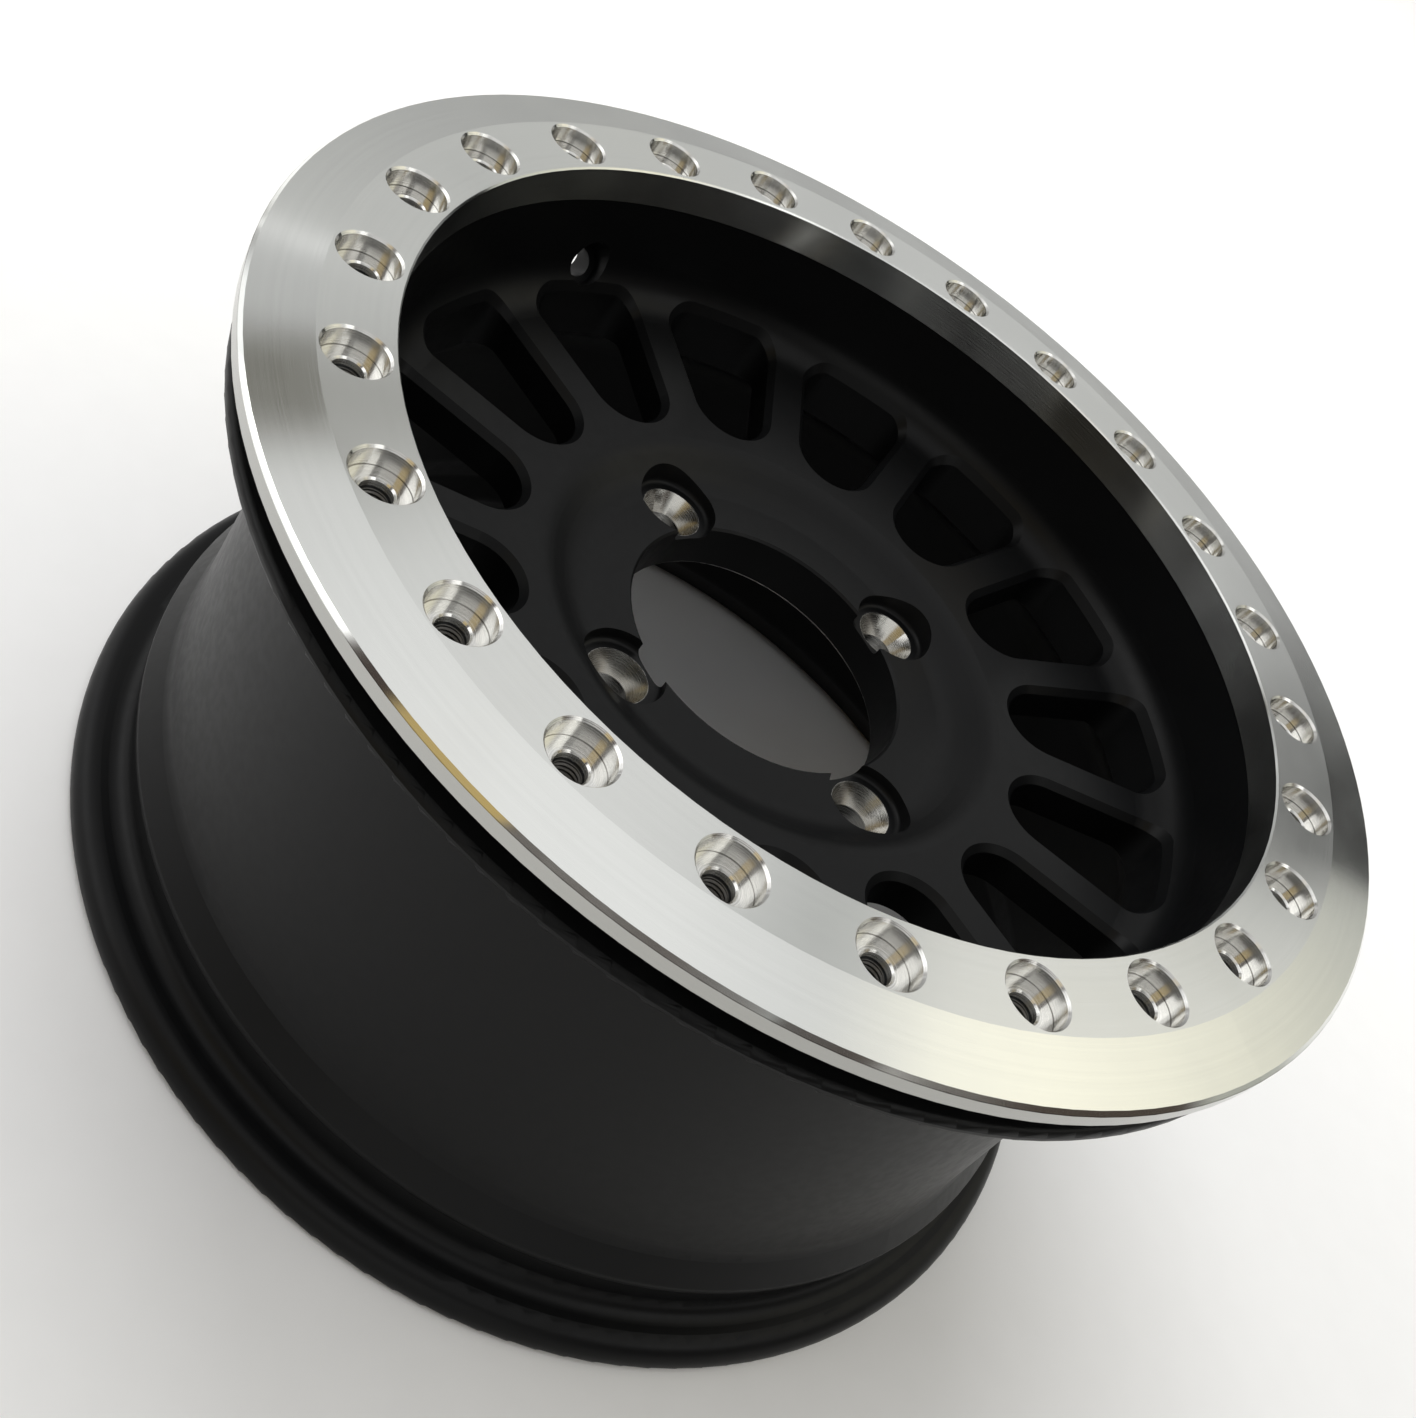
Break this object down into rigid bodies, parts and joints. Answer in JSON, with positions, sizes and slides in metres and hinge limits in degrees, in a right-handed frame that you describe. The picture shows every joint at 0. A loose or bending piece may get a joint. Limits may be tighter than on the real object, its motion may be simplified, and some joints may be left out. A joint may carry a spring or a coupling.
{
  "type": "beadlock wheel",
  "caption": "Black spoked off-road wheel with a dished centre, and a bare aluminium bead-clamp ring with counterbored bolt holes resting on its front bolt land.",
  "frame": {"origin": "centre of the hub mounting face, on the wheel's axis", "axes": "+Z along the wheel's axis out of its front face; the valve hole is on -X"},
  "size_m": [0.4251, 0.4252, 0.2115],
  "materials": {
    "black_coat": "satin black powder coat, with bare machined lug seats",
    "turned_aluminium": "bright turned, clear"
  },
  "bodies": {
    "root": {"wheel": "black_coat", "beadlock_ring": "turned_aluminium"}
  },
  "joints": []
}
